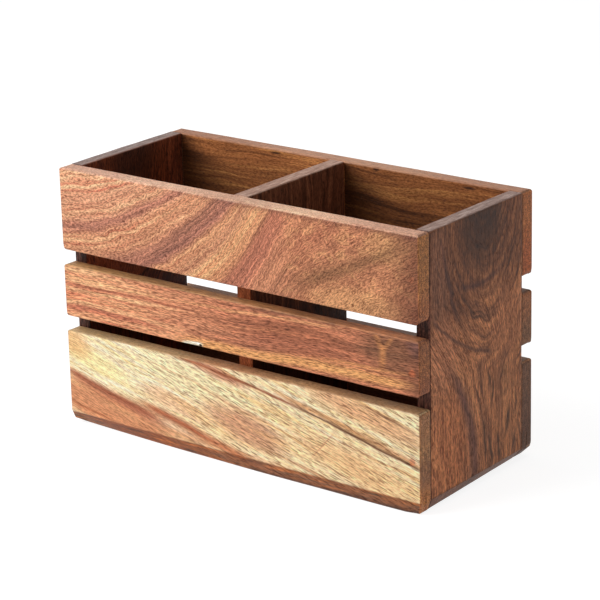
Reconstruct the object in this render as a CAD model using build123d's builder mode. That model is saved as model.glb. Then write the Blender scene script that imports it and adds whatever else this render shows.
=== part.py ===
from build123d import *
import os

# Open-topped wooden caddy with two compartments, built like a small crate: three
# slats along the front and three along the back are glued and pinned to two end
# panels and a central divider, around a floor board.
# X runs along the caddy, Y from front to back, Z up. The origin is the middle of
# the footprint, on the surface that the caddy stands on. Lengths are millimetres.

os.makedirs("parts", exist_ok=True)

# Driving dimensions
caddy_length = 250.0  # over the outer faces of the end panels
caddy_depth = 108.0  # over the outer faces of the slats

bottom_slat_height = 58.0
middle_slat_height = 31.5
top_slat_height = 49.0
slat_gap = 8.5  # open strip between two slats
slat_thickness = 10.0

end_panel_thickness = 9.0
divider_thickness = 9.5
divider_offset = 0.0  # of the divider's middle plane from the caddy's
floor_thickness = 8.0
floor_raise = 6.0  # from the table to the underside of the floor
floor_end_clearance = 0.2  # between the floor and each end panel

# Sanded edges
slat_edge_round = 0.9
rim_round = 1.6  # outer top edge of the top slats
slat_end_round = 0.5
panel_edge_round = 0.5
panel_rim_round = 1.2
floor_edge_round = 0.6
base_bevel_height = 6.0  # bevel round the foot of the outer walls
base_bevel_depth = 4.0

# Steel pins, sunk below the face, and the filler that closes the hole over them
pin_length = 25.0
pin_shank_radius = 0.8
pin_head_radius = 1.5
pin_head_thickness = 0.8
pin_point_length = 2.4
pin_point_flat = 0.15  # radius of the blunt tip
pin_sink = 2.0  # from the face of the wood to the top of the head
pin_clearance = 0.05  # round the shank, the head and the filler
pin_tip_clearance = 0.5

# Height of each pin above the lower edge of its slat
bottom_pin_height = 30.0
middle_pin_height = 13.2
top_pin_height = 24.5
floor_pin_inset = 29.0  # from the floor's long edge to the pins under the divider

# Worked out from the driving dimensions
inside_depth = caddy_depth - 2 * slat_thickness
middle_slat_base = bottom_slat_height + slat_gap
top_slat_base = middle_slat_base + middle_slat_height + slat_gap
caddy_height = top_slat_base + top_slat_height
floor_top = floor_raise + floor_thickness
panel_offset = (caddy_length - end_panel_thickness) / 2
inside_length = caddy_length - 2 * end_panel_thickness
left_bay_middle = (divider_offset - divider_thickness / 2 - inside_length / 2) / 2
right_bay_middle = (divider_offset + divider_thickness / 2 + inside_length / 2) / 2

# A slat is pinned to both end panels and the divider, and the bottom ones to the floor
frame_pin_places = [-panel_offset, divider_offset, panel_offset]
floor_pin_places = [left_bay_middle, right_bay_middle]
floor_pin_level = floor_raise + floor_thickness / 2
bottom_pin_level = bottom_pin_height
middle_pin_level = middle_slat_base + middle_pin_height
top_pin_level = top_slat_base + top_pin_height
frame_pin_levels = [bottom_pin_level, middle_pin_level, top_pin_level]

pin_hole_radius = pin_shank_radius + pin_clearance
head_hole_radius = pin_head_radius + pin_clearance
head_hole_depth = pin_sink + pin_head_thickness
pin_reach = pin_sink + pin_length + pin_tip_clearance - slat_thickness
floor_pin_reach = pin_length + pin_tip_clearance - floor_thickness

# Each row of slats: lower edge, height, pin level and the round of its outer top edge
slat_rows = {
    "bottom": (0, bottom_slat_height, bottom_pin_level, slat_edge_round),
    "middle": (middle_slat_base, middle_slat_height, middle_pin_level, slat_edge_round),
    "top": (top_slat_base, top_slat_height, top_pin_level, rim_round),
}


def finish(piece, label):
    """Name a finished piece and write it to its own file."""
    piece.part.label = label
    export_step(piece.part, f"parts/{label}.step")


def facing(side, x, level, face):
    """Plane on a front (-1) or back (+1) face, its normal pointing outwards."""
    return Plane(origin=(x, side * face, level), x_dir=(1, 0, 0), z_dir=(0, side, 0))


def slat(label, side, base, height, frame_pin_level, top_round):
    """A board along the front (side -1) or the back (side +1)."""
    with BuildPart() as board:
        with BuildSketch(Plane.YZ.offset(-caddy_length / 2)) as section:
            middle = side * (caddy_depth - slat_thickness) / 2
            with Locations((middle, base + height / 2)):
                Rectangle(slat_thickness, height)
            outer = section.vertices().group_by(Axis.X)[-1 if side > 0 else 0]
            inner = section.vertices().group_by(Axis.X)[0 if side > 0 else -1]
            fillet(outer.sort_by(Axis.Y)[-1], top_round)
            fillet(inner, slat_edge_round)
            if base > 0:
                fillet(outer.sort_by(Axis.Y)[0], slat_edge_round)
        extrude(amount=caddy_length)
        fillet(board.faces().sort_by(Axis.X)[0].edges(), slat_end_round)
        fillet(board.faces().sort_by(Axis.X)[-1].edges(), slat_end_round)

        with Locations(*[facing(side, x, frame_pin_level, caddy_depth / 2) for x in frame_pin_places]):
            CounterBoreHole(pin_hole_radius, head_hole_radius, head_hole_depth, slat_thickness)
        if base == 0:
            with Locations(*[facing(side, x, floor_pin_level, caddy_depth / 2) for x in floor_pin_places]):
                CounterBoreHole(pin_hole_radius, head_hole_radius, head_hole_depth, slat_thickness)
            with BuildSketch(Plane.YZ.offset(-caddy_length / 2)):
                with BuildLine():
                    face = side * caddy_depth / 2
                    Polyline(
                        (face, 0),
                        (face, base_bevel_height),
                        (face - side * base_bevel_depth, 0),
                        close=True,
                    )
                make_face()
            extrude(amount=caddy_length, mode=Mode.SUBTRACT)
            for end in (-1, 1):
                with BuildSketch(Plane.XZ.offset(-caddy_depth / 2)):
                    with BuildLine():
                        Polyline(
                            (end * caddy_length / 2, 0),
                            (end * caddy_length / 2, base_bevel_height),
                            (end * (caddy_length / 2 - base_bevel_depth), 0),
                            close=True,
                        )
                    make_face()
                extrude(amount=caddy_depth, mode=Mode.SUBTRACT)
    finish(board, label)


def end_panel(label, end):
    """A panel closing the left (end -1) or right (end +1) side, grain upright."""
    outer = end * caddy_length / 2
    with BuildPart() as panel:
        with BuildSketch(Plane.XZ.offset(-inside_depth / 2)) as section:
            with Locations((end * panel_offset, caddy_height / 2)):
                Rectangle(end_panel_thickness, caddy_height)
            top_corners = section.vertices().group_by(Axis.Y)[-1].sort_by(Axis.X)
            fillet(top_corners[-1 if end > 0 else 0], panel_rim_round)
            fillet(top_corners[0 if end > 0 else -1], panel_edge_round)
        extrude(amount=inside_depth)
        fillet(panel.edges().filter_by(Axis.Z), panel_edge_round)
        with BuildSketch(Plane.XZ.offset(-inside_depth / 2)):
            with BuildLine():
                Polyline(
                    (outer, 0),
                    (outer, base_bevel_height),
                    (outer - end * base_bevel_depth, 0),
                    close=True,
                )
            make_face()
        extrude(amount=inside_depth, mode=Mode.SUBTRACT)
        for side in (-1, 1):
            holes = [facing(side, end * panel_offset, z, inside_depth / 2) for z in frame_pin_levels]
            with Locations(*holes):
                Hole(pin_hole_radius, pin_reach)
    finish(panel, label)


def divider():
    """The upright board between the two compartments, from the floor to the rim."""
    with BuildPart() as board:
        with BuildSketch(Plane.XZ.offset(-inside_depth / 2)) as section:
            with Locations((divider_offset, (floor_top + caddy_height) / 2)):
                Rectangle(divider_thickness, caddy_height - floor_top)
            fillet(section.vertices().group_by(Axis.Y)[-1], slat_edge_round)
        extrude(amount=inside_depth)
        for side in (-1, 1):
            holes = [facing(side, divider_offset, z, inside_depth / 2) for z in frame_pin_levels]
            with Locations(*holes):
                Hole(pin_hole_radius, pin_reach)
        with Locations(*under_pin_planes(floor_top)):
            Hole(pin_hole_radius, floor_pin_reach)
    finish(board, "divider")


def under_pin_planes(level):
    """Downward-facing planes at a level, where the floor is pinned to the divider."""
    places = [inside_depth / 2 - floor_pin_inset, floor_pin_inset - inside_depth / 2]
    return [Plane(origin=(divider_offset, y, level), x_dir=(1, 0, 0), z_dir=(0, 0, -1)) for y in places]


def floor_board():
    """The floor, held between the bottom slats and raised clear of the table."""
    floor_length = inside_length - 2 * floor_end_clearance
    with BuildPart() as board:
        with BuildSketch(Plane.XY.offset(floor_raise)):
            Rectangle(floor_length, inside_depth)
        extrude(amount=floor_thickness)
        fillet(board.faces().sort_by(Axis.Z)[0].edges(), floor_edge_round)
        for side in (-1, 1):
            with Locations(*[facing(side, x, floor_pin_level, inside_depth / 2) for x in floor_pin_places]):
                Hole(pin_hole_radius, pin_reach)
        with Locations(*under_pin_planes(floor_raise)):
            CounterBoreHole(pin_hole_radius, head_hole_radius, pin_head_thickness, floor_thickness)
    finish(board, "floor_board")


def pin():
    """A round-headed steel pin, its head's top at the origin, its point along -Z."""
    with BuildPart() as nail:
        with BuildSketch(Plane.XZ):
            with BuildLine():
                Polyline(
                    (0, 0),
                    (pin_head_radius, 0),
                    (pin_head_radius, -pin_head_thickness),
                    (pin_shank_radius, -pin_head_thickness),
                    (pin_shank_radius, pin_point_length - pin_length),
                    (pin_point_flat, -pin_length),
                    (0, -pin_length),
                    close=True,
                )
            make_face()
        revolve(axis=Axis.Z)
    return nail.part


def pin_set(label, heads):
    """Separate pins, one with its head's top on each plane."""
    one_pin = pin()
    with BuildPart() as pins:
        with Locations(*heads):
            add(one_pin)
    finish(pins, label)


def filler_set(label, faces):
    """Separate round plugs of wood filler, from the slat's face down to the pin heads."""
    with BuildPart() as plugs:
        with Locations(*faces):
            Cylinder(pin_head_radius, pin_sink, align=(Align.CENTER, Align.CENTER, Align.MAX))
    finish(plugs, label)


def fixings(label, side, frame_pin_level, holds_floor):
    """The pins of one slat, and the filler over them."""
    places = [(x, frame_pin_level) for x in frame_pin_places]
    if holds_floor:
        places += [(x, floor_pin_level) for x in floor_pin_places]
    face = caddy_depth / 2
    pin_set(f"{label}_pins", [facing(side, x, level, face - pin_sink) for x, level in places])
    filler_set(f"{label}_filler", [facing(side, x, level, face) for x, level in places])


for wall_side, wall in ((-1, "front"), (1, "back")):
    for row, (base, height, pin_level, top_round) in slat_rows.items():
        slat(f"{wall}_{row}_slat", wall_side, base, height, pin_level, top_round)
        fixings(f"{wall}_{row}_slat", wall_side, pin_level, base == 0)

end_panel("left_end_panel", -1)
end_panel("right_end_panel", 1)
divider()
floor_board()
pin_set("divider_foot_pins", under_pin_planes(floor_raise))
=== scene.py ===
"""Slatted two-compartment wooden caddy, dressed and lit for a studio picture.

Every board is a rounded bar worked out with numpy inside its own sawn size, and every
finish is a formula over the board's own coordinates. Lengths are millimetres until
they go into a mesh or a lamp, where they are multiplied by MM.
"""
from math import cos, pi, radians, sin

import bmesh
import bpy
import numpy as np
from mathutils import Matrix, Vector


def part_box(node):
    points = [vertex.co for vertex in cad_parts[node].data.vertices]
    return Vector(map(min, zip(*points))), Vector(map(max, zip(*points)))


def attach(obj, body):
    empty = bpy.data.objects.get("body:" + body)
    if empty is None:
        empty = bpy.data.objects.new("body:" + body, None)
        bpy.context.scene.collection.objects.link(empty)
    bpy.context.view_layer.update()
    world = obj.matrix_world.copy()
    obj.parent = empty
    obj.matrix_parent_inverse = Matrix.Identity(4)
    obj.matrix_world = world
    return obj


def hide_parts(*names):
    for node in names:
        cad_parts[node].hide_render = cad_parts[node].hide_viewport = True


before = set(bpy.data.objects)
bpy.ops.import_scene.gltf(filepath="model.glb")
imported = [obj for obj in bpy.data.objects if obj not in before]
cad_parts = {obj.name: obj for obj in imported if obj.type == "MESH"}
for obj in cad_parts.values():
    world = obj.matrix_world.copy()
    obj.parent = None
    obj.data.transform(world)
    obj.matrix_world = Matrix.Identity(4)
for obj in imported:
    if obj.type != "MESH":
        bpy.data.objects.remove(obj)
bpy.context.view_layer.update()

MM = 0.001

SLAT_FACE = 54.0  # outer face of the slats, from the middle plane
SLAT_BACK = 44.0  # inner face of the slats, where the uprights end
PANEL_BACK = 116.0  # inner face of the end panels, from the middle plane
BAY_STEP = 120.0  # from the left compartment's left wall to the right compartment's
LIGHT_EDGE = 158.5  # height from which light falls into the compartments
PIN_PLACES = (-120.5, 0.0, 120.5)  # along a slat
PIN_LEVELS = {"bottom": 30.0, "middle": 79.7, "top": 131.0}
FLOOR_PINS = ((-60.375, 10.0), (60.375, 10.0))  # (x, z) in both bottom slats


def sawn(node):
    """Lowest and highest corner of a board, in millimetres."""
    low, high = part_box(node)
    return np.array(low) / MM, np.array(high) / MM


def linear(red, green, blue):
    """A screen colour (0 to 255) as the linear colour that a shader takes."""
    level = np.array([red, green, blue]) / 255.0
    curve = np.where(level <= 0.04045, level / 12.92, ((level + 0.055) / 1.055) ** 2.4)
    return (*(float(c) for c in curve), 1.0)


# ---------------------------------------------------------------- shapes

FACE_STEP = 2.6  # between grid lines on a flat face
EDGE_STEP = 0.35  # first grid line beside a rounded edge
ARC_STEPS = 5
SET_BACK = 0.06  # of a sanded face inside its sawn size, so that filler stands just proud
SAND_WAVE = 0.10  # depth of the hollows that hand sanding leaves
CLOSING = (0.93, 0.6, 0.35, 0.18, 0.08)  # shares by which the rings of an end face have closed
TIPS = {"bottom": (1.2, 0.0), "middle": (1.5, 2.0), "top": (1.3, 2.6)}  # upper and lower corner radii
FOOT_ENDS = {"front": ((1.4, 1.0), (6.4, 2.4)), "back": ((1.4, 1.0), (6.4, 6.4))}  # height, depth
SLAT_END_ROUND = 0.55
UPRIGHT_END_ROUND = 0.45
PLUG_RADIUS = 1.35
FILLER_DEPTH = 0.35
FILLER_SINK = 0.01  # of a plug's crown below the slat's sawn face


def unit(vectors):
    """Each vector divided by its own length."""
    return vectors / np.linalg.norm(vectors, axis=-1, keepdims=True)


def rounded_section(corners, rounds):
    """A board's cross-section at every station, and its outward normals.

    Corners run anticlockwise. Each is replaced by the arc that touches both of its
    sides, swept as centre + round * (sin((1-s)w) a + sin(s w) b) / sin w, with a and b
    the unit directions from the centre to the two touching points and w the angle
    between them. The straight sides between the arcs are divided evenly.
    """
    before = unit(np.roll(corners, 1, axis=1) - corners)
    after = unit(np.roll(corners, -1, axis=1) - corners)
    half = 0.5 * np.arccos(np.clip((before * after).sum(-1), -1, 1))
    reach = (rounds / np.tan(half))[..., None]
    centre = corners + unit(before + after) * (rounds / np.sin(half))[..., None]
    start = corners + before * reach
    stop = corners + after * reach
    first = unit(start - centre)
    last = unit(stop - centre)
    turn = (pi - 2 * half)[..., None]

    points = []
    normals = []
    for corner in range(corners.shape[1]):
        w = turn[:, corner]
        for step in np.linspace(0, 1, ARC_STEPS + 1):
            sweep = np.sin((1 - step) * w) * first[:, corner] + np.sin(step * w) * last[:, corner]
            arc = sweep / np.sin(w)
            points.append(centre[:, corner] + rounds[:, corner, None] * arc)
            normals.append(arc)
        side = start[:, (corner + 1) % corners.shape[1]] - stop[:, corner]
        length = np.linalg.norm(side, axis=-1).mean()
        outward = unit(np.stack([side[:, 1], -side[:, 0]], axis=-1))
        edge = min(EDGE_STEP / length, 0.25)
        for place in np.linspace(edge, 1 - edge, max(2, round(length / FACE_STEP))):
            points.append(stop[:, corner] + side * place)
            normals.append(outward)
    return np.stack(points, axis=1), np.stack(normals, axis=1)


def sanded(along, across, seed):
    """Depth of the sanding hollows: three crossed sine waves, squared to stay positive."""
    wave = np.sin(along / 41.0 + seed) + np.sin(across / 17.0 + 2.1 * seed + along / 97.0)
    wave = wave + 0.6 * np.sin(along / 19.0 - across / 23.0 + 3.7 * seed)
    return SAND_WAVE * (wave / 2.6) ** 2


def bar(name, length, corners_at, rounds_at, end_round, foot, seed, tips=(0.0, 0.0), turned=False):
    """A sanded board: a rounded section carried along a straight path and closed at both ends.

    The station's place runs from -1 to 1. Near each end the section shrinks by
    end_round * (1 - sin a) while the end face comes in by end_round * (1 - cos a), a
    quarter circle, and the end face itself closes on the section's middle line. foot holds
    (height, depth) of the bevel that shortens each end of the board towards its underside.
    tips holds the radii of the upper and lower corners of the end faces: within a radius r
    of the edge the board is shortened by r * (1 - sqrt(1 - t squared)), t going from 0 to 1.
    """
    half = length / 2 - SET_BACK
    quarter = np.linspace(0, pi / 2, ARC_STEPS)
    closing = np.array(CLOSING)
    shrink = np.concatenate([np.full(closing.size, end_round), end_round * (1 - np.sin(quarter))])
    pull = np.concatenate([np.zeros(closing.size), end_round * (1 - np.cos(quarter))])
    close = np.concatenate([closing, np.zeros(quarter.size)])
    inner = np.linspace(-1, 1, round(length / FACE_STEP))[1:-1]
    rest = np.zeros(inner.size)

    place = np.concatenate([np.full(pull.size, -1.0), inner, np.full(pull.size, 1.0)])
    shrink = np.concatenate([shrink, rest, shrink[::-1]])
    pull = np.concatenate([pull, np.full(inner.size, end_round), pull[::-1]])
    close = np.concatenate([close, rest, close[::-1]])

    points, normals = rounded_section(corners_at(place), rounds_at(place))
    points = points - normals * shrink[:, None, None]
    inward = SET_BACK + sanded(place[:, None] * half, points[..., 1], seed)
    points = points - normals * inward[..., None]

    lowest = points.min(axis=1, keepdims=True)
    highest = points.max(axis=1, keepdims=True)
    thick = (highest - lowest)[..., :1] / 2
    middle = (lowest + highest)[..., :1] / 2
    spine = np.clip(points[..., 1:], lowest[..., 1:] + thick, highest[..., 1:] - thick)
    heart = np.concatenate([np.broadcast_to(middle, spine.shape), spine], axis=-1)
    points = points + (heart - points) * close[:, None, None]

    level = points[..., 1]
    shortened = np.zeros(level.shape)
    for (foot_height, foot_depth), here in zip(foot, (place < 0, place >= 0)):
        shortened[here] = foot_depth * np.clip(1 - level[here] / foot_height, 0, 1)
    for radius, nearness in zip(tips, (level - highest[..., 1], lowest[..., 1] - level)):
        if radius > 0:
            t = np.clip(1 + nearness / radius, 0, 1)
            shortened = shortened + radius * (1 - np.sqrt(1 - t * t))
    along = place[:, None] * (half - shortened - pull[:, None])

    if turned:  # the path runs along Y and the section lies in X and Z
        grid = np.stack([points[..., 0], along, points[..., 1]], axis=-1)
    else:  # the path runs along X and the section lies in Y and Z
        grid = np.stack([along, points[..., 0], points[..., 1]], axis=-1)
    index = np.arange(level.size).reshape(level.shape)
    ends = [index[0].tolist(), index[-1][::-1].tolist()]
    return made_piece(name, grid.reshape(-1, 3), between_rings(index) + ends)


def between_rings(index):
    """The four-sided faces between rings of point numbers, each ring closed on itself."""
    right = np.roll(index, -1, axis=1)
    return np.stack([index[:-1], right[:-1], right[1:], index[1:]], axis=-1).reshape(-1, 4).tolist()


def made_piece(name, points, faces):
    """An object from points in millimetres, with its faces turned outwards."""
    mesh = bpy.data.meshes.new(name)
    mesh.from_pydata((points * MM).tolist(), [], faces)
    shell = bmesh.new()
    shell.from_mesh(mesh)
    bmesh.ops.recalc_face_normals(shell, faces=shell.faces)
    shell.to_mesh(mesh)
    shell.free()
    mesh.shade_smooth()
    piece = bpy.data.objects.new(name, mesh)
    bpy.context.scene.collection.objects.link(piece)
    return piece


def wander(place, base, swing, seed):
    """A size that drifts along a board: base * (1 + swing * a slow sine)."""
    return base * (1 + swing * np.sin(3.1 * place + seed) * np.cos(7.3 * place + 2 * seed))


def section_of(node, axis, outward, foot_bevel, rounds_at):
    """A board's section: its corners and their rounds, both as functions of the station's place.

    axis is 1 for a slat, whose faces look along Y, and 0 for an upright, whose faces look
    along X. outward is the sign of its outer face. The corners are listed from the foot of
    the outer face up to the top and down the inner face, which is anticlockwise where
    outward is +1, so for -1 the list is turned about.
    """
    low, high = sawn(node)
    outer, inner = (low[axis], high[axis]) if outward < 0 else (high[axis], low[axis])
    order = slice(None, None, 1 if outward > 0 else -1)

    def ordered_corners(place):
        outline = [(outer, low[2])]
        if foot_bevel is not None:
            height, depth, lift = foot_bevel(place)
            outline = [(outer - outward * depth, low[2] + lift), (outer, low[2] + height)]
        outline += [(outer, high[2]), (inner, high[2]), (inner, low[2])]
        ones = np.ones_like(place)
        return np.stack([np.stack([a * ones, b * ones], axis=-1) for a, b in outline], axis=1)[:, order]

    def ordered_rounds(place):
        return np.stack(rounds_at(place), axis=1)[:, order]

    return ordered_corners, ordered_rounds


def slat_shape(node, side, seed, top_round, inner_round, tips, foot_bevel=None, chip=None):
    """A slat along X. side is -1 for the front wall and +1 for the back one."""
    low, high = sawn(node)
    length = high[0] - low[0]

    def rounds_at(place):
        foot_rounds = [] if foot_bevel is None else [wander(place, 0.9, 0.3, seed)]
        lower = wander(place, 0.9, 0.25, seed + 1)
        if chip is not None:
            centre, reach, extra = chip
            lower = lower + extra * np.exp(-((place * length / 2 - centre) / reach) ** 2)
        return foot_rounds + [
            lower,
            wander(place, top_round, 0.25, seed + 2),
            wander(place, inner_round, 0.2, seed + 3),
            wander(place, 0.8, 0.2, seed + 4),
        ]

    corners, rounds = section_of(node, 1, side, foot_bevel, rounds_at)
    foot = FOOT_ENDS[node.split("_")[0]] if foot_bevel is not None else ()
    return bar(f"{node}_board", length, corners, rounds, SLAT_END_ROUND, foot, seed, tips)


def upright_shape(node, end, seed, rim_round, foot_bevel=None):
    """A board whose faces look along X: an end panel (end -1 or +1) or the divider (end 0)."""
    low, high = sawn(node)

    def rounds_at(place):
        rounds = [wander(place, 0.7, 0.25, seed + k) for k in range(4 if foot_bevel is None else 5)]
        rounds[-3] = wander(place, rim_round, 0.3, seed + 7)
        return rounds

    corners, rounds = section_of(node, 0, -1 if end < 0 else 1, foot_bevel, rounds_at)
    length = high[1] - low[1]
    return bar(f"{node}_board", length, corners, rounds, UPRIGHT_END_ROUND, (), seed, turned=True)


def filler_shape(name, places, side, seed):
    """Plugs of wood filler, each a low dome with an uneven rim wiped over the wood.

    On a disc of distances r (0 to 1) and angles t, the rim lies at PLUG_RADIUS * (1 + 0.16
    sin(2t + p) + 0.1 sin(3t - p)) and the height falls as 1 - r to the eighth power.
    """
    rings = np.linspace(0, 1, 7)[1:]
    angles = np.linspace(0, 2 * pi, 28, endpoint=False)
    r, t = np.meshgrid(rings, angles, indexing="ij")
    points = []
    faces = []
    for number, (x, z) in enumerate(places):
        phase = seed + 1.9 * number
        rim = PLUG_RADIUS * (1 + 0.16 * np.sin(2 * t + phase) + 0.10 * np.sin(3 * t - phase))
        out = SLAT_FACE + (-FILLER_DEPTH + (FILLER_DEPTH - FILLER_SINK) * (1 - r ** 8))
        dome = np.stack([x + rim * r * np.cos(t), side * out, z + rim * r * np.sin(t)], axis=-1)
        crown = len(points)
        root = crown + 1 + r.size
        points.append((x, side * (SLAT_FACE - FILLER_SINK), z))
        points.extend(map(tuple, dome.reshape(-1, 3)))
        points.append((x, side * (SLAT_FACE - 2 * FILLER_DEPTH), z))
        index = crown + 1 + np.arange(r.size).reshape(r.shape)
        right = np.roll(index, -1, axis=1)
        faces += between_rings(index)
        faces += [(crown, b, a) for a, b in zip(index[0].tolist(), right[0].tolist())]
        faces += [(root, a, b) for a, b in zip(index[-1].tolist(), right[-1].tolist())]
    return made_piece(name, np.array(points), faces)


# ---------------------------------------------------------------- finishes

# dark polish in the pores, and painted shade in the corners where slats meet the panels
DARK_POLISH_AND_SHADE = (0.26, 0.13, 0.075, 1.0)
WARM_DARK = (0.42, 0.32, 0.26, 1.0)
# INSIDE_SHADE and DEEP_SHADE are painted shade, multiplied into faces inside the caddy
INSIDE_SHADE = (0.40, 0.36, 0.34, 1.0)
DEEP_SHADE = (0.18, 0.14, 0.12, 1.0)
PAINTED_RIM_LIGHT = (1.5, 1.5, 1.5, 1.0)  # painted light: brightens the back wall's inner faces just under the rim
INSIDE_GOLD = ((98, 58, 32), (150, 94, 54), (194, 134, 78))
RED_HEART = ((140, 86, 62), (176, 114, 82), (208, 148, 104))
PALE_SAP = ((192, 122, 82), (228, 164, 120), (248, 200, 154))
FILLER_TONE = (198, 108, 68)


class Field:
    """A number that varies over the wood: a node socket that formulas can be written with."""

    def __init__(self, bench, socket):
        self.bench = bench
        self.socket = socket

    def __add__(self, other):
        return self.bench.maths("ADD", self, other)

    def __sub__(self, other):
        return self.bench.maths("SUBTRACT", self, other)

    def __rsub__(self, other):
        return self.bench.maths("SUBTRACT", other, self)

    def __mul__(self, other):
        return self.bench.maths("MULTIPLY", self, other)

    def __truediv__(self, other):
        if isinstance(other, Field):
            return self.bench.maths("DIVIDE", self, other)
        return self * (1 / other)

    def __pow__(self, other):
        return self.bench.maths("POWER", self, other)

    def __abs__(self):
        return self.bench.maths("ABSOLUTE", self)

    __radd__ = __add__
    __rmul__ = __mul__


class Bench:
    """A board's finish being mixed in one material; colour is what has been mixed so far.

    Tones are screen colours, and u and v are any two directions over a board's face.
    """

    def __init__(self, board):
        self.board = board
        self.material = bpy.data.materials.new(f"{board}_finish")
        self.material.use_nodes = True
        self.tree = self.material.node_tree
        self.shader = self.tree.nodes["Principled BSDF"]
        self.colour = None
        place = self.node("ShaderNodeTexCoord").outputs["Object"]
        scaled = self.node("ShaderNodeVectorMath", operation="SCALE")
        self.tree.links.new(place, scaled.inputs[0])
        scaled.inputs["Scale"].default_value = 1 / MM
        split = self.node("ShaderNodeSeparateXYZ")
        self.tree.links.new(scaled.outputs[0], split.inputs[0])
        self.x, self.y, self.z = (Field(self, out) for out in split.outputs)

    def node(self, kind, **settings):
        made = self.tree.nodes.new(kind)
        for setting, value in settings.items():
            setattr(made, setting, value)
        return made

    def feed(self, socket, value):
        if isinstance(value, Field):
            self.tree.links.new(value.socket, socket)
        else:
            socket.default_value = value

    def maths(self, operation, *values):
        made = self.node("ShaderNodeMath", operation=operation)
        for socket, value in zip(made.inputs, values):
            self.feed(socket, value)
        return Field(self, made.outputs[0])

    def smooth(self, value, low, high):
        """0 below low, 1 above high, and an S-curve between; low may be the larger."""
        made = self.node("ShaderNodeMapRange", interpolation_type="SMOOTHSTEP")
        self.feed(made.inputs["Value"], value)
        limits = (min(low, high), max(low, high), float(low > high), float(low <= high))
        for name, limit in zip(("From Min", "From Max", "To Min", "To Max"), limits):
            made.inputs[name].default_value = limit
        return Field(self, made.outputs["Result"])

    def noise(self, x, y, z, detail=2.0, roughness=0.5):
        """Cloudy noise, 0 to 1 about 0.5, one cloud to each unit of x, y and z."""
        place = self.node("ShaderNodeCombineXYZ")
        for socket, value in zip(place.inputs, (x, y, z)):
            self.feed(socket, value)
        made = self.node("ShaderNodeTexNoise")
        self.tree.links.new(place.outputs[0], made.inputs["Vector"])
        made.inputs["Scale"].default_value = 1.0
        made.inputs["Detail"].default_value = detail
        made.inputs["Roughness"].default_value = roughness
        return Field(self, made.outputs[0])

    def tint(self, amount, under, over, blend="MIX"):
        """under blended towards over by amount, which is held between 0 and 1."""
        made = self.node("ShaderNodeMix", data_type="RGBA", blend_type=blend)
        made.clamp_factor = made.clamp_result = True
        for number, value in ((0, amount), (6, under), (7, over)):
            self.feed(made.inputs[number], value)
        return Field(self, made.outputs[2])

    def stain(self, amount, tone):
        """Takes the colour towards a tone, by amount."""
        over = tone if isinstance(tone, Field) else linear(*tone)
        self.colour = self.tint(amount, self.colour, over)

    def shade(self, amount, factor):
        """Multiplies the colour by a factor, as far as amount says."""
        self.colour = self.tint(amount, self.colour, factor, "MULTIPLY")

    def veined(self, colour, level, strength):
        """A colour darker where level is under 0.5 and lighter where it is over."""
        return self.tint(1.0, colour, (level - 0.5) * strength + 0.5, "OVERLAY")

    def ramp(self, amount, stops):
        """Colour read off a strip of stops, each a place from 0 to 1 and its tone."""
        made = self.node("ShaderNodeValToRGB")
        self.feed(made.inputs[0], amount)
        strip = made.color_ramp
        strip.interpolation = "EASE"
        while len(strip.elements) < len(stops):
            strip.elements.new(0.5)
        for element, (place, *tone) in zip(strip.elements, stops):
            element.position = place
            element.color = linear(*tone)
        return Field(self, made.outputs[0])

    def stroke(self, u, v, start, stop, sag=0.0, width=4.0, fade=10.0):
        """1 along a bent line from start to stop, falling off across its width and past its ends.

        v of the line is the straight line through start and stop plus sag * 4 s (1 - s),
        with s the share of the way from start to stop. start has the smaller u.
        """
        (u0, v0), (u1, v1) = start, stop
        share = (u - u0) / (u1 - u0)
        line = v0 + share * (v1 - v0)
        if sag:
            line = line + share * (1.0 - share) * (4 * sag)
        slope = (v1 - v0) / (u1 - u0)
        off = abs(v - line) / (width * (1 + slope * slope) ** 0.5)
        ends = self.smooth(u, u0 - fade, u0 + fade) * self.smooth(u, u1 + fade, u1 - fade)
        return self.smooth(off, 1.0, 0.0) * ends

    def oval(self, u, v, centre, radii):
        """Squared distance from an oval's centre: 0 there and 1 on its rim."""
        du = (u - centre[0]) / radii[0]
        dv = (v - centre[1]) / radii[1]
        return du * du + dv * dv

    def patch(self, u, v, centre, radii):
        """1 in the middle of an oval, falling to 0 at its rim."""
        return self.smooth(self.oval(u, v, centre, radii), 1.0, 0.0)

    def patches(self, u, v, rows, strength=1.0, tilt=0.0):
        """Stains one oval after another: centre, radii, tone and amount."""
        for centre, radii, tone, amount in rows:
            spot = self.patch(u, v + (u - centre[0]) * tilt, centre, radii)
            self.stain(spot * strength * amount, tone)

    def strokes(self, u, v, fade, rows, strength=1.0):
        """Stains one stroke after another: start, stop, sag, width, tone and amount."""
        for start, stop, sag, width, tone, amount in rows:
            self.stain(self.stroke(u, v, start, stop, sag, width, fade) * strength * amount, tone)

    def surface(self, roughness, relief, depth):
        """Joins colour, roughness and relief to the shader; depth is the relief's, in millimetres."""
        self.feed(self.shader.inputs["Base Color"], self.colour)
        self.feed(self.shader.inputs["Roughness"], roughness)
        self.shader.inputs["IOR"].default_value = 1.46
        made = self.node("ShaderNodeBump")
        made.inputs["Strength"].default_value = 1.0
        made.inputs["Distance"].default_value = depth * MM
        self.feed(made.inputs["Height"], relief)
        self.tree.links.new(made.outputs[0], self.shader.inputs["Normal"])
        return self.material


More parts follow.
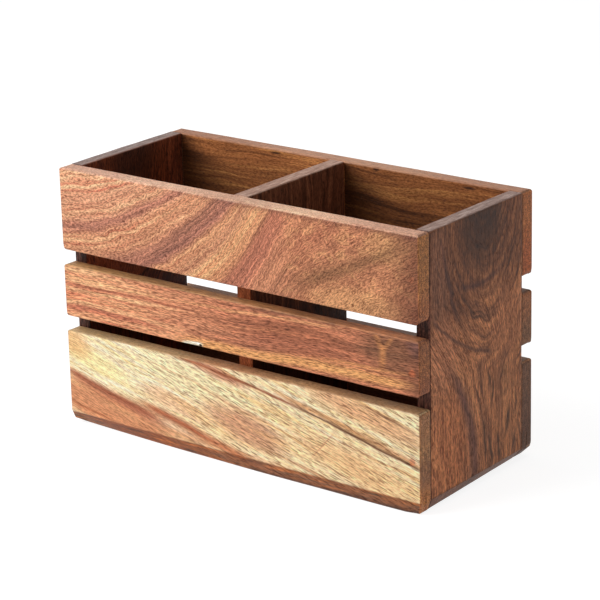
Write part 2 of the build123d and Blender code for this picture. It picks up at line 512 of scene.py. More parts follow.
def oiled(bench, along, across, depth, seed, streaks=0.4, specks=0.3, pores=0.6, speck_length=2.3,
          pore_size=(3.0, 0.55), pore_share=0.36, crowd=1.0, gloss=0.3, calm=0.0):
    """Adds what every oiled board shows close to: fine streaks, small specks and open pores.

    All three are the same cloudy noise, stretched more or less along the grain. Streaks
    and specks lighten or darken the colour under them, and pores are the noise's lowest
    pits, filled with dark polish. calm is the share of it that the sanded upper edge lacks.
    """
    kept = calm_edge(bench, calm) if calm else 1.0
    length, width = pore_size
    streak = bench.noise(along / 30 + seed, across / 1.5, depth / 2, 3.0, 0.6)
    fleck = bench.noise(along / speck_length, across / 0.62 + seed, depth / 0.62, 2.0, 0.6)
    speck = bench.smooth(fleck, 0.36, 0.62)
    pore = bench.noise(along / length, across / width + seed, depth / width, 1.0, 0.4)
    cluster = bench.noise(along / 24, across / 9 + seed, depth / 9)
    pit = bench.smooth(pore + (cluster - 0.5) * 0.16, pore_share, pore_share - 0.07) * crowd
    detail = ((streak - 0.5) * (3.0 * streaks) + (speck - 0.55) * (2.0 * specks)) * kept
    bench.shade(1.0, bench.maths("MAXIMUM", detail, 0.0) + 1.0)
    bench.shade(detail * -1.5, WARM_DARK)
    bench.shade(pit * pores * kept, DARK_POLISH_AND_SHADE)
    relief = streak * 0.25 + speck * 0.2 - pit * 0.8
    bench.shader.inputs["Specular IOR Level"].default_value = gloss
    return bench.surface(0.50 + (fleck - 0.5) * 0.25 + pit * 0.2, relief, 0.09)


def rolling_grain(bench, points):
    """How far the grain has climbed along X: a smooth curve through a few measured points."""
    made = bench.node("ShaderNodeFloatCurve")
    curve = made.mapping.curves[0]
    low, high = points[0][0], points[-1][0]
    heights = [climb for _, climb in points]
    bottom, top = min(heights), max(heights)
    for number, (x, climb) in enumerate(points):
        spot = ((x - low) / (high - low), (climb - bottom) / (top - bottom))
        if number in (0, len(points) - 1):
            curve.points[0 if number == 0 else -1].location = spot
        else:
            curve.points.new(*spot)
    made.mapping.update()
    bench.feed(made.inputs["Value"], (bench.x - low) / (high - low))
    return Field(bench, made.outputs[0]) * (top - bottom) + bottom


def calm_edge(bench, share):
    """How much close-up detail is kept: all of it on the faces, less on the sanded upper edge."""
    top = sawn(bench.board)[1][2]
    return 1.0 - bench.smooth(bench.z, top - 1.3, top - 0.5) * share


def edge_tone(bench, top_tones, end_tones, rim=1.4):
    """The sawn edges of a slat: its upper edge and both ends have tones of their own.

    The upper edge runs through top_tones from left to right and the ends through
    end_tones from the foot to the top, round the corners as the board's shape does. The
    upper edge's pale tones are partly painted sheen. A dark line of painted shade lies in
    the corner where the slat meets the panel behind it.
    """
    x, y, z = bench.x, bench.y, bench.z
    low, high = sawn(bench.board)
    reach = abs(x)
    wall, row, _ = bench.board.split("_")
    upper_tip, lower_tip = TIPS[row]
    for radius, level in ((upper_tip, z - high[2]), (lower_tip, low[2] - z)):
        if radius > 0:
            t = bench.maths("MINIMUM", bench.maths("MAXIMUM", level / radius + 1.0, 0.0), 1.0)
            reach = reach + (1.0 - (1.0 - t * t) ** 0.5) * radius
    if row == "bottom":
        for end, (height, depth) in zip((-1, 1), FOOT_ENDS[wall]):
            cut = bench.maths("MAXIMUM", 1.0 - z / height, 0.0) * depth
            reach = reach + cut * bench.maths("GREATER_THAN", x * end, 0.0)
    mottle = bench.noise(x / 7.0, y / 1.2, z / 4.0, 3.0, 0.65)
    share = (x - low[0]) / (high[0] - low[0]) + (mottle - 0.5) * 0.35
    top = bench.veined(bench.ramp(share, spread(top_tones)), mottle, 0.7)
    bench.stain(bench.smooth(z, high[2] - rim, high[2] - 0.35) * 0.9, top)
    share = (z - low[2]) / (high[2] - low[2]) + (mottle - 0.5) * 0.35
    end = bench.veined(bench.ramp(share, spread(end_tones)), mottle, 1.2)
    bench.stain(bench.smooth(reach, high[0] - 0.8, high[0] - 0.25) * 0.95, end)
    # painted shade: a dark line in the corner where the slat's inner face meets the panel
    inner_face = bench.smooth(abs(y), SLAT_BACK + 1.0, SLAT_BACK + 0.3)
    on_panel = bench.smooth(abs(x), PANEL_BACK - 0.5, PANEL_BACK + 0.5)
    bench.colour = bench.tint(inner_face * on_panel * 0.7, bench.colour, DARK_POLISH_AND_SHADE)


def spread(tones):
    """Tones spaced evenly along a strip."""
    return [((number + 0.5) / len(tones), *tone) for number, tone in enumerate(tones)]


def filled_holes(bench, spots):
    """Wood filler wiped over the pins: (x, z, size, how much it shows) for each hole."""
    wobble = bench.noise(bench.x * 0.7, bench.y * 0.7, bench.z * 0.7)
    for x, z, size, amount in spots:
        away = bench.oval(bench.x, bench.z, (x, z), (size, size)) ** 0.5 + (wobble - 0.5) * 0.9
        bench.stain(bench.smooth(away, 1.15, 0.55) * amount, FILLER_TONE)


def top_slat_finish():
    """Orange-brown heart: level lines at the left that climb into broad bands, mauve and gold."""
    bench = Bench("front_top_slat")
    x, y, z = bench.x, bench.y, bench.z
    sway = bench.noise(x / 55, z / 30, y / 30)
    ripple = bench.noise(x / 14, z / 5, y / 8)
    climb = rolling_grain(bench, [
        (-125, 0), (-100, 3.5), (-80, 9.5), (-60, 18.5), (-40, 30), (-20, 44.5), (0, 62),
        (20, 87), (40, 115), (60, 132), (80, 146), (100, 158), (125, 172)])
    layer = z - climb + (sway - 0.5) * 7 + (ripple - 0.5) * 5
    first, last = -70.0, 155.0
    bands = [
        (-62, 136, 88, 66), (-40, 188, 132, 94), (-22, 182, 124, 90), (-8, 158, 106, 78),
        (6, 186, 124, 92), (24, 196, 132, 98), (40, 182, 114, 88), (50, 176, 110, 84),
        (58, 204, 140, 100), (67, 224, 166, 118), (76, 200, 140, 104), (85, 208, 146, 106),
        (91, 166, 108, 88), (98, 176, 116, 92), (106, 202, 140, 104), (115, 216, 154, 114),
        (122, 188, 124, 100), (129, 216, 156, 118), (137, 210, 148, 114), (145, 228, 168, 128)]
    bench.colour = bench.ramp((layer - first) / (last - first), [
        ((level - first) / (last - first), *tone) for level, *tone in bands])

    # lines drawn out along the grain, plain at the left and broken at the right
    line = bench.noise(x / 60, layer / 2.6, y / 6, 2.0, 0.6)
    bench.colour = bench.veined(bench.colour, line, 1.1)
    mottled = bench.noise(x / 9, z / 6, y / 6, 3.0, 0.65)
    bench.stain(bench.smooth(x, 22, 52) * 0.55, bench.ramp(mottled + (z - 130) * 0.002, [
        (0.36, 166, 102, 70), (0.5, 200, 130, 92), (0.64, 222, 158, 108)]))

    # gold flecks low down and high up near the right end, and a mauve shade at the end itself
    gold = bench.patch(x, z, (84, 111), (40, 12)) + bench.patch(x, z, (106, 146), (20, 13))
    bench.stain(gold * (mottled + 0.2) * 0.75, (214, 160, 108))
    uneven = z + (mottled - 0.5) * 8
    bench.stain(bench.stroke(x, uneven, (48, 118), (112, 147), -2, 7, 14) * 0.7, (134, 92, 60))
    bench.stain(bench.stroke(x, uneven, (36, 132), (80, 156), 0, 8, 12) * 0.4, (164, 94, 70))
    bench.stain(bench.smooth(x, 98, 124) * 0.75, (112, 62, 42))
    bench.stain(bench.smooth(z, 151, 154.4) * bench.smooth(x, -70, 10) * 0.55, (116, 72, 58))
    filled_holes(bench, [(-120.5, 131, 1.7, 0.15), (0, 131, 1.7, 0.15), (120.5, 131, 1.7, 0.2)])
    tops = [(196, 150, 126), (222, 178, 148), (202, 156, 128), (228, 184, 150), (200, 150, 122)]
    ends = [(176, 108, 66), (188, 124, 72), (184, 122, 70)]
    edge_tone(bench, tops, ends)
    return oiled(bench, x + z * 0.6, layer * 0.8, y, 3.0, streaks=0.45, specks=0.42,
                 pore_share=0.38, calm=0.35)


def middle_slat_finish():
    """Reddish brown, nearly level grain, gold along the lower edge and a forked flame near the right."""
    bench = Bench("front_middle_slat")
    x, y, z = bench.x, bench.y, bench.z
    sway = bench.noise(x / 60, z / 25, y / 20 + 4.0)
    layer = z + (sway - 0.5) * 7 - x * 0.012
    line = bench.noise(x / 70, layer / 3.2, y / 6 + 2.0, 3.0, 0.6)
    warm = bench.tint(bench.smooth(x, 10, -90), linear(182, 114, 82), linear(222, 156, 114))
    bench.colour = bench.veined(warm, line, 1.5)
    bench.strokes(x, layer, 16, [
        ((-128, 86), (-62, 87), 1.0, 1.6, (176, 106, 78), 0.9),
        ((-128, 74), (-60, 73), 0.6, 2.4, (178, 104, 78), 0.9),
        ((-128, 90.5), (-50, 91), 0.6, 1.4, (238, 176, 126), 0.8),
        ((-128, 79), (-70, 79), 0.6, 1.6, (236, 172, 124), 0.7),
        ((-70, 89), (30, 91), 1.0, 1.5, (196, 122, 90), 0.5),
        ((-34, 92), (70, 95), 0.4, 1.6, (216, 152, 106), 0.9),
        ((-10, 83), (40, 86), 0.8, 1.2, (206, 140, 98), 0.6),
        ((-34, 69), (118, 71), 0.5, 5.0, (226, 162, 102), 1.1),
        ((60, 75), (118, 77), 0.5, 2.0, (218, 150, 96), 0.8),
        ((10, 80), (70, 81), 0.0, 6.0, (174, 110, 84), 0.6),
        ((-50, 78), (0, 80), 0.0, 4.0, (204, 138, 102), 0.6),
    ], line * 0.8 + 0.6)
    bench.patches(x, z, [((106, 89), (27, 14), (122, 80, 55), 0.85)])
    swayed = x + (sway - 0.5) * 6
    for foot, tip, width in (
            ((78, 101), (91, 102), 3.6), ((88, 102), (99, 96), 3.0), ((90, 103), (98, 108), 2.4)):
        flame = bench.stroke(z, swayed, foot, tip, 0.0, width, 4)
        bench.stain(flame * (line + 0.1) * 0.8, (206, 138, 82))
    bench.patches(x, z, [((44, 84), (52, 12), (150, 84, 56), 0.5)])
    bench.stain(bench.smooth(x, 110, 124) * 0.65, (112, 66, 46))
    bench.patches(x, z, [((125, 99), (12, 13), (104, 70, 66), 0.7)])
    splinter = bench.stroke(x, z, (-36, 66.4), (-24, 67.6), 0.0, 2.6, 3)
    bench.stain(splinter * 2.2, (255, 240, 212))
    bench.patches(x, z, [((-24, 67.6), (1.4, 1.0), (40, 24, 18), 1.5)])
    filled_holes(bench, [(-120.5, 79.7, 1.7, 0.15), (0, 79.7, 1.7, 0.15), (120.3, 79.7, 2.3, 0.75)])
    tops = [(160, 122, 78), (150, 112, 70), (162, 118, 76), (150, 102, 66), (176, 116, 78)]
    ends = [(158, 94, 58), (170, 106, 62), (158, 98, 60)]
    edge_tone(bench, tops, ends)
    return oiled(bench, x, layer, y, 7.0, streaks=0.58, specks=0.44, speck_length=4.5,
                 pore_size=(4.5, 0.55), pore_share=0.38, calm=0.4)


def bottom_slat_finish():
    """Pale sapwood crossed by dark pore dashes, with brown heartwood low at the left."""
    bench = Bench("front_bottom_slat")
    x, y, z = bench.x, bench.y, bench.z
    sway = bench.noise(x / 60, z / 30, y / 30 + 8.0)
    layer = z + x * 0.25 + (sway - 0.5) * 8
    line = bench.noise(x / 55, layer / 3.0, y / 6 + 5.0, 3.0, 0.6)
    pale = bench.tint(bench.smooth(x, -70, -10), linear(255, 232, 188), linear(255, 224, 176))
    bench.colour = bench.veined(pale, line, 0.9)
    v = z + (sway - 0.5) * 5 + (line - 0.5) * 3
    bench.patches(x, v, [
        ((-104, 42), (34, 8), (255, 234, 172), 0.9),
        ((-122, 52), (20, 12), (238, 186, 124), 0.8),
        ((-30, 44), (60, 12), (255, 234, 186), 0.95),
        ((84, 18), (60, 14), (250, 202, 148), 0.9),
        ((6, 25), (38, 13), (206, 144, 108), 0.8),
        ((-44, 28), (34, 8), (236, 176, 132), 0.6),
        ((-16, 54), (32, 5), (204, 142, 110), 0.9),
        ((88, 51), (54, 9), (230, 174, 128), 0.85),
        ((-96, 13), (70, 15), (222, 152, 106), 1.2),
        ((-84, 16), (22, 4), (242, 184, 128), 0.7),
        ((-112, 26), (16, 3), (232, 172, 118), 0.5),
    ], line + 0.5, tilt=0.22)
    heart = bench.stroke(x, v, (-128, 22), (-20, 2), 1.0, 13, 14)
    bench.stain(heart * (line * 0.9 + 0.2), (206, 142, 102))
    bench.strokes(x, v, 12, [
        ((-128, 33), (-54, 15), -0.5, 6.4, (190, 112, 76), 0.8),
        ((-128, 34.5), (-60, 17), -0.5, 3.4, (158, 86, 58), 0.9),
        ((-70, 24), (10, 5), 0.0, 4.6, (182, 104, 68), 1.0),
        ((-60, 12), (30, 7), 0.0, 4.0, (214, 146, 100), 0.5),
        ((-128, 15), (-92, 8), 0.0, 1.8, (170, 98, 62), 0.9),
        ((-42, 57), (44, 45), 0.8, 1.8, (168, 98, 64), 1.0),
        ((30, 50), (128, 27.5), 0.4, 3.4, (190, 128, 86), 0.7),
        ((40, 45.5), (128, 25.5), 0.4, 1.3, (112, 68, 42), 1.0),
        ((86, 57), (128, 45), 0.3, 1.1, (150, 96, 62), 0.8),
        ((-20, 40), (60, 20), 0.5, 0.9, (196, 136, 96), 0.7),
        ((30, 13), (110, -4), 0.5, 1.4, (200, 140, 98), 0.7),
        ((-60, 50), (20, 32), 0.5, 0.9, (206, 150, 108), 0.6),
        ((60, 34), (128, 18), 0.2, 0.9, (190, 132, 92), 0.6),
    ])
    scratch = bench.stroke(z, x, (18, 53), (34, 67), 0.0, 0.8, 3)
    bench.stain(scratch * 0.5, (180, 108, 74))
    # painted shade on the foot bevel, streaked with the grain
    bevel_shade = bench.noise(x / 22, z / 1.5, y / 1.5, 3.0, 0.6)
    bench.stain(bench.smooth(z, 8.0, 6.8) * 0.92, bench.ramp(bevel_shade, [
        (0.32, 66, 36, 24), (0.44, 126, 66, 36), (0.56, 150, 80, 38), (0.68, 196, 110, 52)]))
    # painted shade at the very foot, towards the right end
    bench.stain(bench.smooth(z, 3.4, 1.2) * bench.smooth(x, -20, 60) * 0.6, (66, 44, 38))
    filled_holes(bench, [
        (-120.5, 30, 1.7, 0.12), (0, 30, 1.7, 0.12), (119.9, 30, 2.4, 0.6),
        (-60.4, 10, 1.7, 0.12), (60.4, 10, 1.7, 0.12)])
    tops = [(176, 148, 106), (186, 152, 110), (170, 116, 78), (182, 140, 98), (150, 110, 74)]
    ends = [(206, 132, 74), (154, 100, 66), (184, 128, 82), (180, 122, 80)]
    edge_tone(bench, tops, ends, rim=1.0)
    crowd = bench.smooth(x + (z - 40) * 0.8, -110, -20) * 0.7 + 0.3
    return oiled(bench, x - z * 0.3, z + x * 0.3, y, 11.0, streaks=0.42, specks=0.26,
                 speck_length=4.0, pores=0.76, pore_size=(7.0, 0.52), pore_share=0.43, crowd=crowd, calm=0.4)


def end_panel_finish(node, end):
    """Dark reddish brown, upright: arches hang from the rim and a dark band sweeps to the foot."""
    bench = Bench(node)
    top = sawn(node)[1][2]
    x, y, z = bench.x, bench.y, bench.z
    if end < 0:
        y = y * -1.0 + 4.0
    sway = bench.noise(y / 30, z / 45, x / 20 + end)
    ripple = bench.noise(y / 9, z / 14, x / 9 + end)
    arches = bench.oval(y, z, (8, 168), (27, 52)) ** 0.5
    sweep = bench.oval(y, z, (-48, 5), (42, 78)) ** 0.5
    ring = bench.maths("SMOOTH_MIN", arches, sweep + 0.42, 0.4)
    ring = ring + (sway - 0.5) * 0.42 + (ripple - 0.5) * 0.16
    line = bench.noise(ring * 15, z / 70, y / 60 + x / 9, 4.0, 0.65)
    bench.colour = bench.ramp(line, [
        (0.34, 116, 76, 54), (0.45, 172, 112, 78), (0.55, 202, 134, 92), (0.68, 228, 156, 108)])

    bench.shade(bench.smooth(z + (sway - 0.5) * 30 - y * 0.25, 84, 122), (0.46, 0.44, 0.46, 1.0))
    bench.patches(y, z, [
        ((-36, 128), (14, 34), (156, 108, 86), 0.35),
        ((4, 150), (26, 34), (64, 41, 31), 0.85),
    ])
    bench.stain(bench.stroke(y, z, (-16, 118), (24, 120), -4, 3.0, 8) * 0.7, (74, 48, 46))
    bench.patches(y, z, [
        ((-28, 30), (26, 44), (216, 132, 84), 0.5),
        ((30, 86), (26, 26), (196, 128, 90), 0.55),
        ((-32, 84), (18, 26), (200, 132, 96), 0.75),
        ((32, 30), (16, 30), (210, 142, 98), 0.45),
    ])
    wavy = y + (ripple - 0.5) * 4
    bench.stain(bench.stroke(z, wavy, (0, -4), (70, -22), 7.0, 8.5, 12) * 0.85, (104, 68, 60))
    bench.strokes(y + (ripple - 0.5) * 5, z, 4, [
        ((-42, 106), (14, 74), -5, 2.2, (82, 52, 46), 0.75),
        ((-34, 150), (-20, 104), -3, 2.2, (82, 52, 46), 0.75),
    ])
    dashes = [  # start, stop, width
        ((14, 8), (36, 6), 1.6), ((54, 12), (64, 10), 1.5), ((44, 14), (57, 15), 1.4),
        ((8, 14), (26, 11), 1.8), ((22, 28), (36, 31), 2.6), ((32, 37), (42, 38), 1.6),
        ((8, 22), (24, 20), 1.6), ((10, 34), (20, 37), 1.4),
    ]
    for start, stop, width in dashes:
        bench.stain(bench.stroke(z, wavy, start, stop, 0.5, width, 4) * 0.95, (84, 60, 44))
    eye = bench.oval(y, z, (27, 57), (4.2, 11.5)) ** 0.5 + (ripple - 0.5) * 0.9
    bench.stain(bench.smooth(abs(eye - 1.0), 0.24, 0.04) * 0.7 * ripple, (86, 56, 44))
    bench.stain(bench.smooth(eye, 0.9, 0.3) * 0.4, (128, 92, 62))
    # painted shade on the foot bevel, as high as the bevel on each panel
    strip = 7.0 if end > 0 else 3.2
    bench.stain(bench.smooth(z, strip + 0.6, strip - 0.8) * 0.7, (92, 58, 44))

    # the rim is worn pale, its grey partly a painted highlight; painted shade darkens the corners by the
    # slats and the inner face, the inner face most towards the foot
    edge = bench.noise(y / 10, x / 2, z / 3 + end, 3.0, 0.7)
    rim = bench.ramp(edge, [(0.35, 116, 92, 82), (0.5, 146, 120, 110), (0.65, 176, 152, 142)])
    bench.stain(bench.smooth(z, top - 0.7, top - 0.2) * 0.9, rim)
    # painted shade in the gaps, on the edges that meet the slats
    grain = bench.noise(x / 1.1, y, z / 12 + end)
    gap_shade = bench.ramp(grain, [(0.38, 44, 26, 24), (0.6, 104, 66, 56)])
    bench.stain(bench.smooth(abs(bench.y), SLAT_BACK - 0.8, SLAT_BACK - 0.1) * 0.95, gap_shade)
    # painted shade on the inner face, deepest towards the foot
    inside = bench.smooth(x * end, PANEL_BACK + 1.2, PANEL_BACK + 0.4)
    bench.shade(inside, (0.80, 0.52, 0.42, 1.0))
    bench.shade(inside * bench.smooth(z, 112, 55), DEEP_SHADE)
    if end < 0:
        bench.shade(1.0 - inside, (0.80, 0.84, 0.88, 1.0))
    # the fine grain leans over between the arches and the dark band
    flow = y - bench.smooth(z, 116, 60) * bench.smooth(y, 42, 2) * 27
    return oiled(bench, z, flow, x, 13.0 + end, streaks=0.75, specks=0.45, speck_length=3.2,
                 pores=0.75, pore_share=0.38, gloss=0.2, calm=0.7)


def compartment_shade(bench, inside, facing_in):
    """Painted shade on the back wall's inner faces, darker towards the foot and deepest beside the board on
    each compartment's left, and painted light just under the rim.
    """
    x, z = bench.x, bench.z
    right_bay = bench.smooth(x, 4.0, 5.0)
    # painted shade on the inner faces, darker towards the foot
    bench.shade(facing_in * (right_bay * 0.12 + 0.76 - bench.smooth(z, 70, 140) * 0.5), inside)
    # painted shadow of the board on each compartment's left, fading where light gets in
    beside = x + PANEL_BACK - right_bay * BAY_STEP
    open_to_light = bench.smooth(beside / (LIGHT_EDGE - z), 0.1, 2.4)
    bench.shade(facing_in * (0.85 - open_to_light * 0.85), DEEP_SHADE)
    # painted light on the inner faces just under the rim
    bench.shade(facing_in * bench.smooth(z - right_bay * 5.0, 138, 151), PAINTED_RIM_LIGHT)


def plain_wood(node, axes, woods, seed, tops=(), ends=(), inside=None, checks=()):
    """Straight-grained board; axes names the directions along, across and through the grain.

    checks holds the short dark cracks near the rim of the inner face: (x, z, half length).
    """
    bench = Bench(node)
    along, across, through = (getattr(bench, axis) for axis in axes)
    drift = bench.noise(along / 70, across / 30, through / 30 + seed)
    across = across + (drift - 0.5) * 14
    broad = bench.noise(along / 110 + seed, across / 9, through / 12, 3.0)
    line = bench.noise(along / 60 + seed, across / 2.4, through / 4, 3.0, 0.6)
    level = (broad - 0.5) * 1.1 + (line - 0.5) * 1.1 + 0.5
    bench.colour = bench.ramp(level, [(place, *wood) for place, wood in zip((0.2, 0.5, 0.8), woods)])
    if inside is not None:
        # inside is the colour of the painted shade multiplied into the inner face
        facing_in = bench.smooth(bench.y, SLAT_BACK + 1.2, SLAT_BACK + 0.6)
        compartment_shade(bench, inside, facing_in)
        for x, z, reach in checks:
            crack = bench.patch(bench.x, bench.z + (line - 0.5) * 2, (x, z), (reach, 1.0))
            bench.stain(crack * facing_in * 0.9, (48, 28, 20))
    if not tops:
        return oiled(bench, along, across, through, seed, specks=0.26, gloss=0.25)
    level = PIN_LEVELS[node.split("_")[1]]
    filled_holes(bench, [(x, level, 1.7, 0.3) for x in PIN_PLACES])
    edge_tone(bench, tops, ends)
    return oiled(bench, along, across, through, seed, streaks=0.45, specks=0.32, gloss=0.25, calm=0.5)


def divider_finish():
    """Dark heartwood, upright, with an orange front edge and a greyish upper edge."""
    bench = Bench("divider")
    top = sawn("divider")[1][2]
    x, y, z = bench.x, bench.y, bench.z
    drift = bench.noise(z / 60, y / 25, x / 25 + 31.0)
    across = y + (drift - 0.5) * 12
    line = bench.noise(z / 50, across / 3.0, x / 5, 3.0, 0.6)
    bench.colour = bench.ramp(line, [(0.34, 80, 46, 31), (0.5, 122, 74, 51), (0.68, 158, 102, 71)])
    front = bench.smooth(abs(y), SLAT_BACK - 1.0, SLAT_BACK - 0.3)
    bench.stain(front * 0.9, (186, 106, 66))
    # painted shade, darker towards the foot, except on the front edge
    bench.shade(bench.smooth(z, 112, 50) * (1.0 - front), DEEP_SHADE)
    # the upper edge's pale grey is partly painted sheen
    edge = bench.noise(y / 10, x / 2, z / 3 + 5.0, 3.0, 0.7)
    rim = bench.ramp(edge, [(0.35, 136, 102, 86), (0.5, 166, 130, 112), (0.65, 194, 162, 144)])
    bench.stain(bench.smooth(z, top - 0.9, top - 0.3) * 0.9, rim)
    return oiled(bench, z, across, x, 31.0, specks=0.3, gloss=0.15, calm=0.6)


def steel_finish():
    """Drawn steel wire: fine lines along the pin."""
    bench = Bench("steel")
    drawn = bench.noise(bench.x * 6, bench.y * 0.4, bench.z * 6)
    bench.colour = bench.ramp(drawn, [(0.3, 150, 150, 152), (0.7, 190, 190, 190)])
    bench.shader.inputs["Metallic"].default_value = 1.0
    return bench.surface(0.34 + (drawn - 0.5) * 0.2, drawn, 0.01)


# ---------------------------------------------------------------- boards

def finish_piece(piece, material, slot, *nodes):
    """Hands a finished piece to the frame in place of its CAD nodes."""
    piece.data.materials.clear()
    piece.data.materials.append(material)
    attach(piece, "root")
    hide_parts(*nodes)


def ease(value, low, high):
    """0 below low, 1 above high, and the S-curve 3t^2 - 2t^3 between."""
    t = np.clip((value - low) / (high - low), 0, 1)
    return t * t * (3 - 2 * t)


def front_foot(place):
    """Bevel under the front wall, (height, depth, lift): planed deep towards the left end."""
    left_corner = ease(-place, 0.93, 1.0)
    right_corner = ease(place, 0.93, 1.0)
    depth = 0.7 + 6.1 * ((1 - place) / 2) ** 3 - 4.2 * left_corner + 1.6 * right_corner
    return 7.1 - 1.1 * place, depth, 2.6 * left_corner


def back_foot(place):
    """Bevel under the back wall, (height, depth, lift): little more than a broken edge."""
    return 2.6 + 0.3 * np.sin(4 * place), 1.5 + 0.3 * np.sin(3 * place + 1), 0 * place


def right_foot(place):
    """Bevel under the right end panel, (height, depth, lift): deepens towards the back."""
    return 6.6 + 0.4 * place, 4.6 + 1.7 * place, 0 * place


def left_foot(place):
    """Bevel under the left end panel, (height, depth, lift): a broken edge."""
    return 2.6 - 0.3 * place, 1.6 - 0.3 * place, 0 * place


FINISHES = {
    "front_top_slat": top_slat_finish(),
    "front_middle_slat": middle_slat_finish(),
    "front_bottom_slat": bottom_slat_finish(),
    "back_top_slat": plain_wood(
        "back_top_slat", "xzy", INSIDE_GOLD, 21.0,
        tops=[(156, 108, 82), (178, 130, 102), (184, 136, 106), (164, 116, 88)],
        ends=[(188, 104, 62), (192, 118, 72)], inside=INSIDE_SHADE,
        checks=((-45, 153.4, 5.5), (27, 153.8, 3.0), (90, 152.6, 6.0))),
    "back_middle_slat": plain_wood(
        "back_middle_slat", "xzy", RED_HEART, 24.0, tops=[(134, 94, 66), (110, 78, 58)],
        ends=[(138, 96, 68), (168, 108, 72)], inside=INSIDE_SHADE),
    "back_bottom_slat": plain_wood(
        "back_bottom_slat", "xzy", PALE_SAP, 27.0, tops=[(160, 114, 78), (138, 98, 68)],
        ends=[(94, 60, 44), (106, 70, 52), (116, 78, 56)], inside=DEEP_SHADE),
    "left_end_panel": end_panel_finish("left_end_panel", -1),
    "right_end_panel": end_panel_finish("right_end_panel", 1),
    "divider": divider_finish(),
    "floor_board": plain_wood("floor_board", "xyz", RED_HEART, 35.0),
}

WALLS = (("front", -1, front_foot), ("back", 1, back_foot))
TOP_ROUNDS = {"bottom": (1.0, 1.3), "middle": (1.0, 3.2), "top": (1.7, 1.0)}  # outer, inner
WORN_EDGE = (-30.0, 8.0, 0.4)  # of the front middle slat: its place, half length and extra round

for wall, side, foot in WALLS:
    for number, row in enumerate(PIN_LEVELS):
        node = f"{wall}_{row}_slat"
        seed = 1.0 + number + 3.3 * (side > 0)
        chip = WORN_EDGE if node == "front_middle_slat" else None
        bevel = foot if row == "bottom" else None
        board = slat_shape(node, side, seed, *TOP_ROUNDS[row], TIPS[row], bevel, chip)
        finish_piece(board, FINISHES[node], f"{row}_slat_wood", node)

for end, node, foot in ((-1, "left_end_panel", left_foot), (1, "right_end_panel", right_foot)):
    finish_piece(upright_shape(node, end, 2.0 + end, 1.3, foot), FINISHES[node], "end_panel_wood", node)
finish_piece(upright_shape("divider", 0, 4.4, 0.9), FINISHES["divider"], "divider_wood", "divider")

for wall, side, _ in WALLS:
    for row, level in PIN_LEVELS.items():
        node = f"{wall}_{row}_slat"
        places = [(x, level) for x in PIN_PLACES]
        if row == "bottom":
            places += FLOOR_PINS
        plugs = filler_shape(f"{node}_plugs", places, side, level)
        finish_piece(plugs, FINISHES[node], "wood_filler", f"{node}_filler")

steel = steel_finish()
for node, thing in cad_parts.items():
    for kind, material in (("_pins", steel), ("floor_board", FINISHES["floor_board"])):
        if node.endswith(kind):
            for socket in thing.material_slots:
                socket.material = material


# ---------------------------------------------------------------- floor, light and camera

FLOOR_SIZE = 6.0  # metres
FLOOR_DROP = 0.0003  # metres, of the floor below the caddy's foot
FLOOR_GREY = 0.82  # as it lights the caddy
FLOOR_SHADOW_GREY = 0.32  # as it is looked at, with FLOOR_GLOW added, so that only shadow darkens it
FLOOR_GLOW = 0.86
ROOM_LEVEL = 0.25  # of the white surroundings, as they light the caddy


def seen_directly(tree):
    """1 for rays from the camera or through a gloss or glass surface, for the white surroundings."""
    path = tree.nodes.new("ShaderNodeLightPath")
    total = path.outputs["Is Camera Ray"]
    for kind in ("Is Glossy Ray", "Is Transmission Ray"):
        either = tree.nodes.new("ShaderNodeMath")
        either.operation = "MAXIMUM"
        tree.links.new(total, either.inputs[0])
        tree.links.new(path.outputs[kind], either.inputs[1])
        total = either.outputs[0]
    return total


def shader(tree, kind, grey=1.0, strength=None):
    """A grey or white shader's output."""
    made = tree.nodes.new(kind)
    made.inputs["Color"].default_value = (grey, grey, grey, 1)
    if strength is not None:
        made.inputs["Strength"].default_value = strength
    return made.outputs[0]


def joined(tree, kind, *sources):
    """A node's output, its first inputs fed from the sources."""
    made = tree.nodes.new(kind)
    for source, socket in zip(sources, made.inputs):
        tree.links.new(source, socket)
    return made.outputs[0] if made.outputs else None


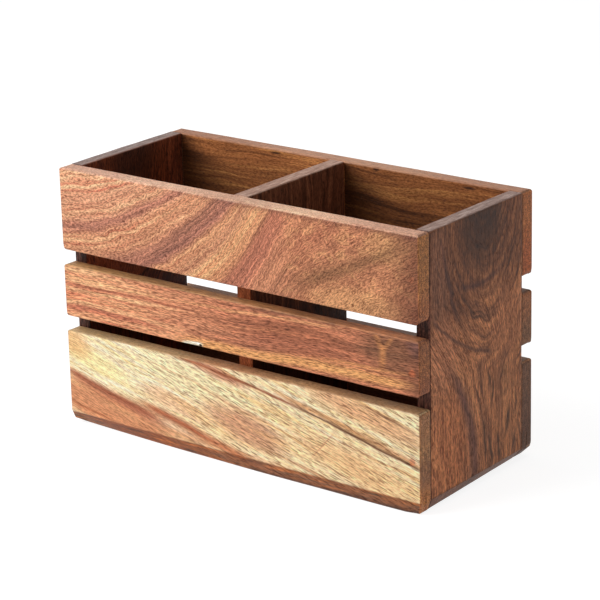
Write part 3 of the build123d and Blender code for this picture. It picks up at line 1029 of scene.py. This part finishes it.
def studio():
    """Pale floor, white surroundings, one large soft lamp and a weaker one."""
    scene = bpy.context.scene
    scene.view_settings.view_transform = "Standard"

    mesh = bpy.data.meshes.new("floor")
    far = FLOOR_SIZE / 2
    corners = [(x, y, -FLOOR_DROP) for x, y in ((-far, -far), (far, -far), (far, far), (-far, far))]
    mesh.from_pydata(corners, [], [(0, 1, 2, 3)])
    floor = bpy.data.objects.new("floor", mesh)
    scene.collection.objects.link(floor)
    paper = bpy.data.materials.new("white_paper")
    paper.use_nodes = True
    tree = paper.node_tree
    tree.nodes.clear()
    diffuse = shader(tree, "ShaderNodeBsdfDiffuse", FLOOR_GREY)
    pale = shader(tree, "ShaderNodeBsdfDiffuse", FLOOR_SHADOW_GREY)
    glow = shader(tree, "ShaderNodeEmission", strength=FLOOR_GLOW)
    both = joined(tree, "ShaderNodeAddShader", pale, glow)
    picked = joined(tree, "ShaderNodeMixShader", seen_directly(tree), diffuse, both)
    joined(tree, "ShaderNodeOutputMaterial", picked)
    mesh.materials.append(paper)

    world = bpy.data.worlds.new("white_room")
    scene.world = world
    world.use_nodes = True
    tree = world.node_tree
    tree.nodes.clear()
    room = shader(tree, "ShaderNodeBackground", strength=ROOM_LEVEL)
    white = shader(tree, "ShaderNodeBackground", strength=1.0)
    picked = joined(tree, "ShaderNodeMixShader", seen_directly(tree), room, white)
    joined(tree, "ShaderNodeOutputWorld", picked)

    soft_lamp("key_lamp", azimuth=-38, height=42, distance=1.5, size=1.0, level=0.80)
    soft_lamp("top_lamp", azimuth=10, height=80, distance=1.6, size=1.2, level=0.2)


def aim(azimuth, height):
    """Unit direction from the object to a lamp or camera; azimuth 0 is in front, 90 to the right."""
    a, h = radians(azimuth), radians(height)
    return Vector((sin(a) * cos(h), -cos(a) * cos(h), sin(h)))


def soft_lamp(name, azimuth, height, distance, size, level):
    """A square lamp; level is how bright it makes a white card that faces it."""
    lamp = bpy.data.lights.new(name, "AREA")
    lamp.shape = "SQUARE"
    lamp.size = size
    lamp.energy = level * pi * pi * distance * distance
    thing = bpy.data.objects.new(name, lamp)
    bpy.context.scene.collection.objects.link(thing)
    back = aim(azimuth, height)
    middle = Vector((0, 0, 0.07))
    turn = back.to_track_quat("Z", "Y").to_matrix().to_4x4()
    thing.matrix_world = Matrix.Translation(middle + back * distance) @ turn


def camera():
    """The photograph's viewpoint, found by fitting the caddy's corners and edges."""
    azimuth, height, roll = 38.09, 18.09, radians(-1.39)
    distance, target = 1.4429, Vector((0.00485, 0.0, 0.08466))
    back = aim(azimuth, height)
    right = Vector((cos(radians(azimuth)), sin(radians(azimuth)), 0))
    up = back.cross(right)
    rolled_right = right * cos(roll) + up * sin(roll)
    rolled_up = up * cos(roll) - right * sin(roll)
    lens = bpy.data.cameras.new("camera")
    lens.sensor_fit = "HORIZONTAL"
    lens.sensor_width = 36.0
    lens.lens = 153.62
    thing = bpy.data.objects.new("camera", lens)
    bpy.context.scene.collection.objects.link(thing)
    turn = Matrix((rolled_right, rolled_up, back)).transposed().to_4x4()
    thing.matrix_world = Matrix.Translation(target + back * distance) @ turn
    bpy.context.scene.camera = thing


studio()
camera()
